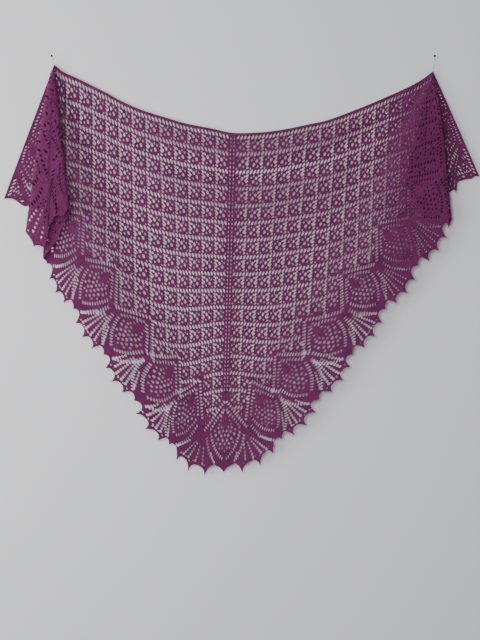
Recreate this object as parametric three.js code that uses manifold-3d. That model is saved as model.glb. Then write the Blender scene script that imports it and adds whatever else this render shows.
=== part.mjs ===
// A hand-knitted triangular lace shawl hung on a wall by two pins through its top edge.
// Millimetres, +X to the right as seen, +Y into the wall, +Z up. The origin lies on the wall,
// midway between the two pin holes.
import * as THREE from "three";
import { mergeVertices } from "three/addons/utils/BufferGeometryUtils.js";
import Module from "manifold-3d";

const BLOCK = 42; // pitch of the lace blocks in the flat cloth
const CLOTH = 1.2; // thickness of the knitted cloth
const BAND = 2.2; // thickness of the firm band on the top edge
const BAND_WIDTH = 4;
const SEAM = 0.4; // gap left where two pieces meet
const HEM_LINE = 24; // column + row of every leaf end, in blocks
const BOTTOM_ROW = 20.5; // row of the leaf end at the spine
const LEAF = 197; // length of a leaf in the flat cloth, from its end to its top
const LEAF_HALF = 62; // half the width of a leaf where it meets the next
const SPINE_HALF = 0.11; // half the width of the spine rib, in blocks
const CENTRE_JOIN = 18.1; // row where the centre leaf meets its neighbours
const GAP_REACH = 7.02; // from the middle of a gap in the leaf net to its corners
const BLOCK_GAP = { across: 4.1, along: 5.8 }; // half sizes of the large gap in a block
const FIRST_GAP_ROW = 3; // rows of blocks above this one stay closed, in the swag
const PIN_CLEAR = 16; // the layers start this far from their pin

const PINS = [
  { name: "left", x: -520.2, z: 8.9, headX: -522.9, headZ: 28.7 },
  { name: "right", x: 520.2, z: -8.9, headX: 521, headZ: 28.5 },
];
const GATHER = { above: 4, outer: 15.65, back: 2.5, deep: 15 }; // the bunch on a pin
const PIN = { radius: 0.55, tip: 0.4, head: 3.4, headY: -30, clothY: -6, depth: 5 };

const YARN = { color: 0x7a2a60, roughness: 0.95, metalness: 0 };
const DARK = { color: 0x4a1238, roughness: 0.95, metalness: 0 };
const STEEL = { color: 0xb8b8bc, roughness: 0.3, metalness: 1 };
const BLACK = { color: 0x101012, roughness: 0.2, metalness: 0 };

// The top edge as it hangs between the pins.
const TOP_EDGE = named(["x", "z"], [
  [-520.2, 8.9], [-492.9, -12], [-459.4, -26.8], [-417.3, -47.7], [-375, -68.9],
  [-341.4, -87.9], [-290.8, -111], [-249, -125.5], [-206.7, -138.2], [-164.6, -150.8],
  [-122.5, -159.4], [-80.4, -167.6], [-29.8, -178.1], [53.5, -176.1], [116.5, -167.6],
  [175.3, -155.2], [225.9, -144.5], [284.8, -123.6], [348, -98.3], [411, -70.8],
  [453.3, -52.1], [486.9, -33.1], [520.2, -8.9],
]);
const SPINE_X = -29.8;

// One line of the cloth runs from the top edge to each leaf end: its column in the flat cloth
// at the top and at the hem, and where the leaf end hangs.
const RIBS = named(["leaf", "top", "hem", "x", "z"], [
  [-5, -12.77, -13.8, -536.4, -538.6],
  [-4, -11.2, -11.4, -464.9, -661.5],
  [-3, -8.97, -9.1, -382.1, -786.4],
  [-2, -6.78, -7.08, -299.3, -907.6],
  [-1, -4.42, -5.05, -205.3, -1033.6],
  [0, 0, 0, -54.6, -1108.4],
  [1, 4.2, 4.75, 105.2, -1017.1],
  [2, 6.6, 6.9, 206.1, -904.3],
  [3, 8.75, 8.9, 297.4, -785.5],
  [4, 10.95, 11.2, 385.7, -661.8],
  [5, 12.9, 13.55, 475.1, -543.8],
  [6, 14.2, 15.75, 559.5, -428.3],
]).map((rib) => ({
  ...rib,
  row: rib.leaf ? HEM_LINE - Math.abs(rib.hem) : BOTTOM_ROW,
}));

// The three pointed scallops between two leaf ends: how far along, and how far out.
const SCALLOPS = named(["along", "out"], [
  [0, 0], [0.07, 3], [0.13, 9], [0.19, 22], [0.26, 13.5], [0.34, 10.5], [0.42, 14],
  [0.49, 25.5], [0.56, 14.5], [0.64, 11], [0.72, 13], [0.79, 24], [0.86, 11], [0.93, 3],
]);
const CENTRE_BULGE = { left: 20, right: 8 }; // the hem stands out more beside the centre leaf

// Gaps in the net of one leaf: across and along the leaf, from its end.
const NET = named(["across", "along"], [
  [0, 31], [-11, 46], [11, 46], [-22, 61], [0, 61], [22, 61],
  [-33, 77], [-11, 77], [11, 77], [33, 77], [0, 150],
]);

// The swag fold under the middle of the top edge: how far down, in crease depths, and how far
// forward of the flat cloth.
const SWAG = named(["down", "forward"], [
  [-1, 0], [0, 0], [0.5, 18], [1, -4], [1.5, 8], [2.5, 3], [4, 0], [9, 0], [30, 0],
]);
const CREASE = { middle: 104, side: 83, inner: 180, outer: 360 };
const HANG = { top: 12, hem: 16, flare: 3 }; // distance from the wall

// Layers of cloth at a wing, from the wall forward: distance from the wall at the pin and lower.
const LEFT_LAYERS = named(["pin", "low"], [[3, 9], [5, 20], [7, 30], [9, 42], [11, 54]]);
const RIGHT_LAYERS = named(["pin", "low"], [[3, 9], [5, 20], [7, 32]]);
const MAIN_LAYER = 2;
const LAYER_REACH = 110; // the layers reach their full spread over this distance
const FOLD_BULGE = 8; // a fold stands out at most this far

// Each wing as sections fanned about its pin: angle from plumb, layer, which way a fold turns
// out, shift across in mm, and reach from the pin to the hem.
const LEFT_WING = named(["angle", "layer", "turn", "across", "reach"], [
  [-20, 0, 0, 0.6, 393],
  [-18.3, 0, 0, 1, 387],
  [-16.4, 0, 0, 0.8, 387],
  [-14.3, 0, 0, 0.5, 393],
  [-11.7, 0, 0, 0, 404],
  [-9.2, 0, 0, 0, 396],
  [-6, 0, 0, 0, 378],
  [-2, 0, 0, 0, 398],
  [2, 0, 0, 0, 376],
  [5, 0, 0, 0, 388],
  ...fold(5, 0, 1, 1, 0, 392, 394),
  [5, 1, 0, 0, 395],
  [1, 1, 0, 0, 378],
  [-2.5, 1, 0, 0, 400],
  [-5.5, 1, 0, 0, 392],
  [-7.7, 1, 0, 0, 405],
  ...fold(-7.7, 1, 4, -1, 0, 425, 475),
  [-7.7, 4, 0, 0, 480],
  [-5.5, 4, 0, 0, 495],
  [-3.5, 4, 0, 0, 508],
  [-1.6, 4, 0, 0, 522],
  [-0.7, 4, 0, 0, 442],
  [1.5, 4, 0, 0, 434],
  [4, 4, 0, 0, 438],
  [6, 4, 0, 0, 424],
  ...fold(6, 4, 3, 1, 0, 420, 418),
  [6, 3, 0, 0, 420],
  [3.5, 3, 0, 0, 455],
  [1, 3, 0, 0, 490],
  [-1.2, 3, 0, 0, 520],
  ...fold(-1.7, 3, 2, -1, -4, 532, 543),
  [-1.7, 2, 0, -4, 545],
  [-1.7, 2, 0, -0.7, 547],
]);
const RIGHT_WING = named(["angle", "layer", "turn", "across", "reach"], [
  [5.35, 2, 0, 0.7, 421],
  [5.35, 2, 0, 4, 419],
  ...fold(5.35, 2, 1, 1, 4, 416, 414),
  [4.6, 1, 0, 0, 414],
  [1, 1, 0, 0, 398],
  [-3, 1, 0, 0, 412],
  [-7, 1, 0, 0, 385],
  [-10.5, 1, 0, 0, 372],
  [-13.4, 1, 0, 0, 322],
  ...fold(-13.4, 1, 0, -1, 0, 312, 306),
  [-13.4, 0, 0, 0, 306],
  [-9, 0, 0, 0, 326],
  [-5, 0, 0, 0, 312],
  [-1, 0, 0, 0, 334],
  [3, 0, 0, 0, 322],
  [5.5, 0, 0, 0, 345],
  [8.2, 0, 0, 0, 333],
  [10.8, 0, 0, 0, 346],
  [11.6, 0, 0, 0, 320],
  [12.9, 0, 0, 0, 312],
  [16.3, 0, 0, -0.4, 313],
  [19.5, 0, 0, -0.8, 326],
  [21.6, 0, 0, -1, 303],
  [23.1, 0, 0, -0.6, 314],
]);
const WING_ROWS = [0, 0.04, 0.1, 0.19, 0.3, 0.42, 0.54, 0.66, 0.78, 0.89, 1];
const LEFT_EDGE = { angle: -20, reach: 394, side: -1 };
const RIGHT_EDGE = { angle: 23.1, reach: 315, side: 1 };

function named(columns, rows) {
  return rows.map((row) => Object.fromEntries(columns.map((name, i) => [name, row[i]])));
}

// Three sections that carry the cloth round a fold from one layer to another.
function fold(angle, from, to, turn, across, reachFrom, reachTo) {
  return [[0.15, 0.7], [0.5, 1], [0.85, 0.7]].map(([share, out]) => [
    angle,
    from + (to - from) * share,
    turn * out * Math.abs(to - from),
    across,
    reachFrom + (reachTo - reachFrom) * share,
  ]);
}

function smoothstep(low, high, value) {
  const t = Math.min(1, Math.max(0, (value - low) / (high - low)));
  return t * t * (3 - 2 * t);
}

function lerp(a, b, t) {
  return a + (b - a) * t;
}

// A smooth curve through the rows of a table: one column against another that rises.
function curve(rows, from, to) {
  const slopes = rows.map((row, i) => {
    const before = rows[Math.max(i - 1, 0)];
    const after = rows[Math.min(i + 1, rows.length - 1)];
    return (after[to] - before[to]) / (after[from] - before[from]);
  });
  return (at) => {
    let i = 0;
    while (i < rows.length - 2 && rows[i + 1][from] < at) i += 1;
    const span = rows[i + 1][from] - rows[i][from];
    const t = (at - rows[i][from]) / span;
    const t2 = t * t;
    const t3 = t2 * t;
    return (
      (2 * t3 - 3 * t2 + 1) * rows[i][to] +
      (t3 - 2 * t2 + t) * span * slopes[i] +
      (3 * t2 - 2 * t3) * rows[i + 1][to] +
      (t3 - t2) * span * slopes[i + 1]
    );
  };
}

// The main panel, from the flat cloth (column, row) to where it hangs.
let length = 0;
const ALONG = TOP_EDGE.map((point, i) => {
  const last = TOP_EDGE[Math.max(i - 1, 0)];
  length += Math.hypot(point.x - last.x, point.z - last.z);
  return { x: point.x, z: point.z, along: length };
});
const topZ = curve(TOP_EDGE, "x", "z");
const topX = curve(ALONG, "along", "x");
const SPINE_ALONG = curve(ALONG, "x", "along")(SPINE_X);
const LEFT_RIB = RIBS[0];
const RIGHT_RIB = RIBS[RIBS.length - 1];
const ribTop = curve(RIBS, "leaf", "top");
const ribHem = curve(RIBS, "leaf", "hem");
const ribRow = curve(RIBS, "leaf", "row");
const ribX = curve(RIBS, "leaf", "x");
const ribZ = curve(RIBS, "leaf", "z");
const swag = curve(SWAG, "down", "forward");

function topPoint(column) {
  const scale =
    column < 0 ? SPINE_ALONG / -LEFT_RIB.top : (length - SPINE_ALONG) / RIGHT_RIB.top;
  const x = topX(SPINE_ALONG + column * scale);
  return { x, z: topZ(x) };
}

function ribThrough(column, row) {
  let low = LEFT_RIB.leaf;
  let high = RIGHT_RIB.leaf;
  for (let i = 0; i < 40; i += 1) {
    const leaf = (low + high) / 2;
    const at = lerp(ribTop(leaf), ribHem(leaf), row / ribRow(leaf));
    if (at < column) low = leaf;
    else high = leaf;
  }
  return (low + high) / 2;
}

function spread(distance) {
  return 1 - Math.exp(-distance / LAYER_REACH);
}

function mainPoint(column, row) {
  const leaf = ribThrough(column, row);
  const t = row / ribRow(leaf);
  const ease = 0.15 * Math.min(1, Math.abs(ribTop(leaf)) / -LEFT_RIB.top);
  const g = t + ease * t * (1 - t);
  const top = topPoint(ribTop(leaf));
  const x = lerp(top.x, ribX(leaf), g);
  const z = lerp(top.z, ribZ(leaf), g);
  return new THREE.Vector3(x, -mainDepth(leaf, t, x, z, top.z), z);
}

function mainDepth(leaf, t, x, z, edgeZ) {
  const [left, right] = PINS.map((pin) => ({
    distance: Math.hypot(x - pin.x, z - pin.z),
    angle: (Math.atan2(x - pin.x, pin.z - z) * 180) / Math.PI,
  }));
  const leftLift = 1 - smoothstep(10, 27, left.angle);
  const rightLift = 1 - smoothstep(19, 34, -right.angle);
  const free = (1 - leftLift) * (1 - rightLift);
  const middle = 1 - smoothstep(CREASE.inner, CREASE.outer, Math.abs(x));
  const crease = lerp(CREASE.side, CREASE.middle, middle);
  const own =
    lerp(HANG.top, HANG.hem, t) +
    middle * swag((edgeZ - z) / crease) +
    HANG.flare * Math.cos(2 * Math.PI * leaf) * t ** 3;
  const low =
    free * own +
    leftLift * LEFT_LAYERS[MAIN_LAYER].low +
    (1 - leftLift) * rightLift * RIGHT_LAYERS[MAIN_LAYER].low;
  const s = spread(Math.min(left.distance, right.distance));
  return lerp(LEFT_LAYERS[MAIN_LAYER].pin, low, s);
}

// A wing, from section number and share of its reach to where it hangs.
function wingPoint(sections, layers, pin) {
  return (number, share) => {
    const i = Math.min(sections.length - 2, Math.max(0, Math.floor(number)));
    const t = number - i;
    const [a, b] = [sections[i], sections[i + 1]].map((section) => {
      const r = lerp(PIN_CLEAR, section.reach, share);
      const s = spread(r);
      const k = Math.min(layers.length - 2, Math.floor(section.layer));
      const deep = (layer) => lerp(layer.pin, layer.low, s);
      const depth = lerp(deep(layers[k]), deep(layers[k + 1]), section.layer - k);
      const step = (deep(layers[1]) - deep(layers[0])) / 2;
      const bulge = Math.sign(section.turn) * Math.min(FOLD_BULGE, Math.abs(section.turn) * step);
      const angle = (section.angle * Math.PI) / 180;
      return new THREE.Vector3(
        pin.x + r * Math.sin(angle) + section.across + bulge,
        -depth,
        pin.z - r * Math.cos(angle),
      );
    });
    return a.lerp(b, t);
  };
}

// A closed wall of cloth: flat polygons, with their gaps, carried to both faces.
class Wall {
  constructor(place, thickness) {
    this.place = place;
    this.thickness = thickness;
    this.points = [];
    this.keys = new Map();
    this.triangles = [];
  }

  point([u, v]) {
    const key = u.toFixed(5) + " " + v.toFixed(5);
    if (!this.keys.has(key)) {
      this.keys.set(key, this.points.length);
      this.points.push([u, v]);
    }
    return this.keys.get(key);
  }

  polygon(outline, gaps = []) {
    const turned = area(outline) < 0 ? [...outline].reverse() : outline;
    const flat = turned.map((point, i) => nudged(turned, i));
    const corners = [turned, ...gaps].flat();
    const drawn = [flat, ...gaps].flat();
    const faces = THREE.ShapeUtils.triangulateShape(
      flat.map(([u, v]) => new THREE.Vector2(u, v)),
      gaps.map((gap) => gap.map(([u, v]) => new THREE.Vector2(u, v))),
    );
    for (const face of faces) {
      const ordered = area(face.map((i) => drawn[i])) < 0 ? [...face].reverse() : face;
      this.triangles.push(ordered.map((i) => this.point(corners[i])));
    }
  }

  geometry() {
    const step = 0.02;
    const sides = this.points.map(([u, v]) => {
      const middle = this.place(u, v);
      const across = this.place(u + step, v).sub(this.place(u - step, v)).normalize();
      const along = this.place(u, v + step).sub(this.place(u, v - step)).normalize();
      const out = across.cross(along).normalize().multiplyScalar(this.thickness / 2);
      return [middle.clone().add(out), middle.clone().sub(out)];
    });
    const corners = sides.flat().flatMap((p) => [p.x, p.y, p.z]);
    const index = [];
    const edges = new Set(
      this.triangles.flatMap(([a, b, c]) => [a + " " + b, b + " " + c, c + " " + a]),
    );
    for (const [a, b, c] of this.triangles) {
      index.push(2 * a, 2 * b, 2 * c, 2 * a + 1, 2 * c + 1, 2 * b + 1);
      for (const [from, to] of [[a, b], [b, c], [c, a]]) {
        if (edges.has(to + " " + from)) continue;
        index.push(2 * from, 2 * from + 1, 2 * to + 1, 2 * from, 2 * to + 1, 2 * to);
      }
    }
    return new THREE.BufferGeometry()
      .setAttribute("position", new THREE.Float32BufferAttribute(corners, 3))
      .setIndex(index);
  }
}

function area(points) {
  return points.reduce((sum, [u, v], i) => {
    const [nextU, nextV] = points[(i + 1) % points.length];
    return sum + (u * nextV - nextU * v) / 2;
  }, 0);
}

// A corner on a straight run is moved inward while triangles are drawn, so none is a sliver.
function nudged(outline, i) {
  const [u, v] = outline[i];
  const [lastU, lastV] = outline[(i + outline.length - 1) % outline.length];
  const [nextU, nextV] = outline[(i + 1) % outline.length];
  const [du, dv] = [nextU - lastU, nextV - lastV];
  const size = Math.hypot(du, dv);
  const off = (du * (v - lastV) - dv * (u - lastU)) / size;
  if (Math.abs(off) > 0.02) return [u, v];
  return [u - (dv / size) * 0.06, v + (du / size) * 0.06];
}

function diamond([column, row], across, along) {
  return [
    [column + across / BLOCK, row],
    [column, row + along / BLOCK],
    [column - across / BLOCK, row],
    [column, row - along / BLOCK],
  ];
}

// One side of the cloth in blocks counted outward from the spine.
function halfCloth(name) {
  const sign = name === "left" ? -1 : 1;
  const ribs = RIBS.filter((rib) => rib.leaf * sign > 0).sort((a, b) => sign * (a.leaf - b.leaf));
  const outer = ribs[ribs.length - 1];
  const ends = [[0, BOTTOM_ROW], ...ribs.map((rib) => [Math.abs(rib.hem), rib.row])];
  const leafPoint = (k, across, along) => {
    const [column, row] = ends[k];
    if (k === 0) return [across / BLOCK, row - along / BLOCK];
    const diagonal = BLOCK * Math.SQRT2;
    return [column + (across - along) / diagonal, row - (across + along) / diagonal];
  };
  const edgeColumn = (row) =>
    lerp(Math.abs(outer.top), Math.abs(outer.hem), row / outer.row);
  const tops = ends.map((end, k) => leafPoint(k, 0, LEAF));
  const joins = tops.map((top, k) => {
    if (k === 0) return [tops[1][0], CENTRE_JOIN];
    const next = tops[k + 1];
    return [next ? next[0] : edgeColumn(top[1]), top[1]];
  });
  return { name, sign, ends, tops, joins, leafPoint, edgeColumn };
}

function middleOf([u0, v0], [u1, v1]) {
  return [(u0 + u1) / 2, (v0 + v1) / 2];
}

// The lines of corners of one side's block lattice, from the spine outward.
function columnsOf({ tops, edgeColumn }) {
  const last = tops.length - 1;
  const inner = tops.slice(1).flatMap(([column], i) =>
    i ? [(tops[i][0] + column) / 2, column] : [column],
  );
  return [
    () => SPINE_HALF + SEAM / BLOCK,
    ...inner.map((column) => () => column),
    (row) => (tops[last][0] + edgeColumn(row)) / 2,
    edgeColumn,
  ];
}

// Where the top edge stops beside a pin.
function bandEnd({ edgeColumn }) {
  return edgeColumn(0) - (1.1 * PIN_CLEAR) / BLOCK;
}

// The block lattice of one side, down to the stepped line where the leaves begin.
function ground(half) {
  const { sign, tops, edgeColumn } = half;
  const wall = new Wall((u, v) => mainPoint(sign * u, v), CLOTH);
  const last = tops.length - 1;
  const columns = columnsOf(half);
  const steps = tops.slice(1).map(([, row]) => row).reverse();
  const above = Math.round(steps[0] / 1.2);
  const firstRow = (BAND_WIDTH + SEAM) / BLOCK;
  const rows = [
    ...Array.from({ length: above }, (_, i) => lerp(firstRow, steps[0], i / above)),
    ...steps.flatMap((row, i) => (i ? [(steps[i - 1] + row) / 2, row] : [row])),
  ];
  // The last row of a column of cells, and the row a line of corners ends on.
  const bottomOf = (i) => above + 2 * (last - Math.max(1, Math.ceil(i / 2)));
  const corner = (i, j) => {
    const nextBottom = bottomOf(Math.min(i, columns.length - 2));
    const shift = j >= nextBottom ? SEAM / BLOCK : 0;
    const inside = i > 0 && i < columns.length - 1;
    return [columns[i](rows[j]) - (inside ? shift : 0), rows[j] - shift];
  };
  for (let i = 0; i < columns.length - 1; i += 1) {
    for (let j = 0; j < bottomOf(i); j += 1) {
      const outline = [corner(i, j), corner(i + 1, j), corner(i + 1, j + 1), corner(i, j + 1)];
      if (i === columns.length - 2 && j === 0) {
        const clear = PIN_CLEAR / BLOCK;
        outline.splice(1, 1, [bandEnd(half), rows[0]], [edgeColumn(clear), clear]);
      }
      const [centre, open] = [middleOf(outline[0], outline[2]), j >= FIRST_GAP_ROW];
      wall.polygon(outline, open ? [diamond(centre, BLOCK_GAP.across, BLOCK_GAP.along)] : []);
    }
  }
  return wall.geometry();
}

// The scalloped hem from one leaf end to the next.
function hemPoints(half, k) {
  const [start, end] = [half.ends[k], half.ends[k + 1]];
  const size = Math.hypot(end[0] - start[0], end[1] - start[1]);
  const out = [-(end[1] - start[1]) / size, (end[0] - start[0]) / size];
  const extra = k === 0 ? CENTRE_BULGE[half.name] : 0;
  return SCALLOPS.map((point) => {
    const reach = (point.out + extra * Math.sin(Math.PI * point.along)) / BLOCK;
    return [
      lerp(start[0], end[0], point.along) + out[0] * reach,
      lerp(start[1], end[1], point.along) + out[1] * reach,
    ];
  });
}

function leafSide(half, k, side) {
  return [
    half.leafPoint(k, side * 0.66 * LEAF_HALF, 70),
    half.leafPoint(k, side * 0.42 * LEAF_HALF, 24),
    half.leafPoint(k, 0, 10),
  ];
}

function netOf(half, k) {
  return NET.map((gap) => {
    const centre = [gap.across, gap.along];
    const corners = [[1, 0.2], [-0.2, 1], [-1, -0.2], [0.2, -1]];
    return corners.map(([a, b]) =>
      half.leafPoint(k, centre[0] + a * GAP_REACH, centre[1] + b * GAP_REACH),
    );
  });
}

// The leaves of one side and the fans of scallops between them.
function border(half) {
  const { sign, tops, joins, ends, edgeColumn } = half;
  const wall = new Wall((u, v) => mainPoint(sign * u, v), CLOTH);
  const last = tops.length - 1;
  for (let k = 1; k <= last; k += 1) {
    const riser = k > 1 ? [middleOf(joins[k - 1], tops[k])] : [];
    const [rowTop, rowEnd] = [joins[k][1], ends[k][1]];
    const edgeRows = [0.45, 0.75].map((share) => lerp(rowTop, rowEnd, share));
    const outerSide =
      k < last
        ? leafSide(half, k, 1)
        : [...edgeRows.map((row) => [edgeColumn(row), row]), ends[k], half.leafPoint(k, 0, 10)];
    const innerSide = leafSide(half, k, -1).slice(0, 2).reverse();
    wall.polygon(
      [
        joins[k - 1], ...riser, tops[k], middleOf(tops[k], joins[k]), joins[k],
        ...outerSide, ...innerSide,
      ],
      netOf(half, k),
    );
    if (k < last) wall.polygon(fanOutline(half, k));
  }
  return wall.geometry();
}

function fanOutline(half, k) {
  return [
    half.joins[k],
    ...leafSide(half, k, 1),
    ...hemPoints(half, k),
    half.ends[k + 1],
    ...leafSide(half, k + 1, -1).reverse(),
  ];
}

// The leaf at the foot of the spine, with the fans on both sides of it.
function borderCentre() {
  const half = SPINE_HALF + SEAM / BLOCK;
  const wall = new Wall(mainPoint, CLOTH);
  const seam = ([column, row]) => [column - SEAM / BLOCK, row];
  const away = ([column, row]) => [column - (1.2 * SEAM) / BLOCK, row + (0.8 * SEAM) / BLOCK];
  const sides = [left, right].map((side) => ({
    ...side,
    tops: side.tops.map(seam),
    joins: side.joins.map(seam),
    ends: [side.ends[0], ...side.ends.slice(1).map(away)],
    leafPoint: (k, x, y) => (k ? away(side.leafPoint(k, x, y)) : side.leafPoint(k, x, y)),
  }));
  const placed = sides.map((side) => (points) => points.map(([u, v]) => [side.sign * u, v]));
  const [onLeft, onRight] = placed;
  const [atLeft, atRight] = sides;
  wall.polygon(
    [
      ...onRight([atRight.joins[0], atRight.tops[1], [half, atRight.tops[1][1]]]),
      ...onLeft([[half, atLeft.tops[1][1]], atLeft.tops[1], atLeft.joins[0]]),
      ...onLeft(leafSide(atLeft, 0, 1)),
      ...onRight(leafSide(atRight, 0, 1).slice(0, 2).reverse()),
    ],
    netOf(right, 0),
  );
  sides.forEach((side, i) => wall.polygon(placed[i](fanOutline(side, 0))));
  return wall.geometry();
}

// A ribbon of cloth between two lines of points.
function ribbon(place, across, rows, thickness) {
  const wall = new Wall(place, thickness);
  for (let i = 0; i < rows.length - 1; i += 1) {
    for (let j = 0; j < across.length - 1; j += 1) {
      wall.polygon([
        [across[j], rows[i]], [across[j + 1], rows[i]],
        [across[j + 1], rows[i + 1]], [across[j], rows[i + 1]],
      ]);
    }
  }
  return wall.geometry();
}

function evenly(from, to, count) {
  return Array.from({ length: count + 1 }, (_, i) => lerp(from, to, i / count));
}

function wing(sections, layers, pin) {
  const numbers = sections.map((_, i) => i);
  return ribbon(wingPoint(sections, layers, pin), numbers, WING_ROWS, CLOTH);
}

function wingBand(edge, layers, pin) {
  const sections = [0, BAND_WIDTH].map((across) => ({
    angle: edge.angle, layer: 0, turn: 0, across: edge.side * across, reach: edge.reach,
  }));
  return ribbon(wingPoint(sections, layers, pin), [0, 1], WING_ROWS, BAND);
}

// The cloth gathered on a pin: a short block that the layers spring from, with the pin through it.
function gather(pin, wasm) {
  const angles = evenly(-65, 65, 8).map((angle) => (angle * Math.PI) / 180);
  const shape = new THREE.Shape([
    new THREE.Vector2(0, GATHER.above),
    ...angles.map((a) => new THREE.Vector2(Math.sin(a), -Math.cos(a)).multiplyScalar(GATHER.outer)),
  ]);
  const block = new THREE.ExtrudeGeometry(shape, { depth: GATHER.deep, bevelEnabled: false })
    .rotateX(Math.PI / 2)
    .translate(pin.x, -GATHER.back, pin.z);
  const hole = pinPieces(pin, 0.3).shaft;
  const cut = solidOf(block, wasm).subtract(solidOf(hole, wasm)).getMesh();
  return new THREE.BufferGeometry()
    .setAttribute("position", new THREE.BufferAttribute(cut.vertProperties, 3))
    .setIndex(new THREE.BufferAttribute(cut.triVerts, 1));
}

function solidOf(geometry, wasm) {
  const bare = mergeVertices(geometry.deleteAttribute("uv").deleteAttribute("normal"), 1e-4);
  const vertProperties = bare.attributes.position.array;
  const triVerts = new Uint32Array(bare.index.array);
  return new wasm.Manifold(new wasm.Mesh({ numProp: 3, vertProperties, triVerts }));
}

// A pin: its shaft leans up out of the wall to the ball head.
function pinPieces(pin, clearance = 0) {
  const head = new THREE.Vector3(pin.headX, PIN.headY, pin.headZ);
  const cloth = new THREE.Vector3(pin.x, PIN.clothY, pin.z);
  const lean = head.clone().sub(cloth).normalize();
  const point = cloth.clone().addScaledVector(lean, (PIN.depth - PIN.clothY) / lean.y);
  const neck = head.clone().addScaledVector(lean, -PIN.head - SEAM);
  const size = neck.distanceTo(point);
  const shaft = new THREE.CylinderGeometry(PIN.radius + clearance, PIN.tip + clearance, size, 12)
    .applyQuaternion(new THREE.Quaternion().setFromUnitVectors(new THREE.Vector3(0, 1, 0), lean))
    .translate(...point.add(neck).multiplyScalar(0.5).toArray());
  const ball = new THREE.SphereGeometry(PIN.head, 16, 10).translate(...head.toArray());
  return { shaft, ball };
}

function piece(name, geometry, finish) {
  const solid = mergeVertices(geometry.deleteAttribute("uv").deleteAttribute("normal"), 1e-4);
  const mesh = new THREE.Mesh(solid, new THREE.MeshStandardMaterial(finish));
  mesh.name = name;
  return mesh;
}

const wasm = await Module();
wasm.setup();

const left = halfCloth("left");
const right = halfCloth("right");
const [leftPin, rightPin] = PINS;
const [leftColumns, rightColumns] = [left, right].map((half) => [
  ...columnsOf(half).slice(0, -1).map((column) => column(BAND_WIDTH / BLOCK)),
  bandEnd(half),
]);
const bandColumns = [...leftColumns.map((column) => -column).reverse(), ...rightColumns];
const spineRows = evenly((BAND_WIDTH + SEAM) / BLOCK, left.tops[1][1] - SEAM / BLOCK, 16);

const shawl = new THREE.Group();
shawl.name = "lace_shawl";
shawl.add(
  piece("top_band", ribbon(mainPoint, bandColumns, [0, BAND_WIDTH / BLOCK], BAND), DARK),
  piece("spine", ribbon(mainPoint, [-SPINE_HALF, SPINE_HALF], spineRows, BAND), DARK),
  piece("ground_left", ground(left), YARN),
  piece("ground_right", ground(right), YARN),
  piece("border_left", border(left), YARN),
  piece("border_centre", borderCentre(), YARN),
  piece("border_right", border(right), YARN),
  piece("wing_left", wing(LEFT_WING, LEFT_LAYERS, leftPin), YARN),
  piece("wing_right", wing(RIGHT_WING, RIGHT_LAYERS, rightPin), YARN),
  piece("wing_left_band", wingBand(LEFT_EDGE, LEFT_LAYERS, leftPin), DARK),
  piece("wing_right_band", wingBand(RIGHT_EDGE, RIGHT_LAYERS, rightPin), DARK),
);
for (const pin of PINS) {
  const { shaft, ball } = pinPieces(pin);
  shawl.add(
    piece("gather_" + pin.name, gather(pin, wasm), YARN),
    piece("pin_shaft_" + pin.name, shaft, STEEL),
    piece("pin_head_" + pin.name, ball, BLACK),
  );
}

export default shawl;
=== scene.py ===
"""A hand-knitted triangular lace shawl hung on a wall by two pins.

The cloth is charted in lace blocks, cut with its eyelets as a fine sheet, and carried to where it
hangs. Lengths are millimetres in the flat cloth and metres in the scene.
"""

import math

import bmesh
import bpy
import numpy as np
from bpy.props import FloatProperty, FloatVectorProperty, PointerProperty
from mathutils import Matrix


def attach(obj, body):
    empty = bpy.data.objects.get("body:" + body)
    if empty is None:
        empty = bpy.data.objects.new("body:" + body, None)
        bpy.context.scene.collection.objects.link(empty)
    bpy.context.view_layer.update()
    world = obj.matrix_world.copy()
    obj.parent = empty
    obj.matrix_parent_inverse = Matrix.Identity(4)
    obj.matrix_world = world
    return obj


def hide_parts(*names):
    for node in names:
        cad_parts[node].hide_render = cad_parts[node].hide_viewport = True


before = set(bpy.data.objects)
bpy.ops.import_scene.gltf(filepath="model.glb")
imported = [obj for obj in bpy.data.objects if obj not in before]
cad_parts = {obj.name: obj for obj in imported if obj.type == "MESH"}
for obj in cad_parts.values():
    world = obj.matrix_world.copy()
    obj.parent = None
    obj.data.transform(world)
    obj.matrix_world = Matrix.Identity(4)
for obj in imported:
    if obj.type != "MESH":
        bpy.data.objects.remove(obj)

bl_info = {
    "name": "Lace Shawl",
    "version": (1, 0, 0),
    "blender": (4, 5, 0),
    "location": "View3D > Sidebar > Shawl",
    "description": "Builds a hung triangular lace shawl from its lace chart",
    "category": "Add Mesh",
}

METRE = 1000.0  # in the millimetres of the flat cloth
BLOCK = 42.0  # pitch of the lace blocks
HEM_LINE = 24.0  # column + row of every leaf end
BOTTOM_ROW = 20.5
LAST_ROW = 30  # past every hem
HALF_ROW = 6.9  # where the ground's upper and lower pieces meet
LEAF = 197.0  # length of a leaf
LEAF_SCALE = (0.86, 1.07)  # flat cloth against the leaf chart, across and along
CENTRE_SCALE = (1.02, 0.93)
LEAF_LEAN = {1: (1.07, 11.0), 2: (1.03, 5.0), 3: (1.0, 2.0)}  # leaf: how much taller, degrees
TIP_COLUMN = 22.0  # where the top edge ends
DIAGONAL = BLOCK * math.sqrt(2)

# x and z along the top edge, from pin to pin
TOP_EDGE = np.array([
    (-520.2, 8.9), (-492.9, -12), (-459.4, -26.8), (-417.3, -47.7), (-375, -68.9),
    (-341.4, -87.9), (-290.8, -111), (-249, -125.5), (-206.7, -138.2), (-164.6, -150.8),
    (-122.5, -159.4), (-80.4, -167.6), (-29.8, -178.1), (53.5, -176.1), (116.5, -167.6),
    (175.3, -155.2), (225.9, -144.5), (284.8, -123.6), (348, -98.3), (411, -70.8),
    (453.3, -52.1), (486.9, -33.1), (520.2, -8.9),
])
SPINE_X = -29.8

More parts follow.
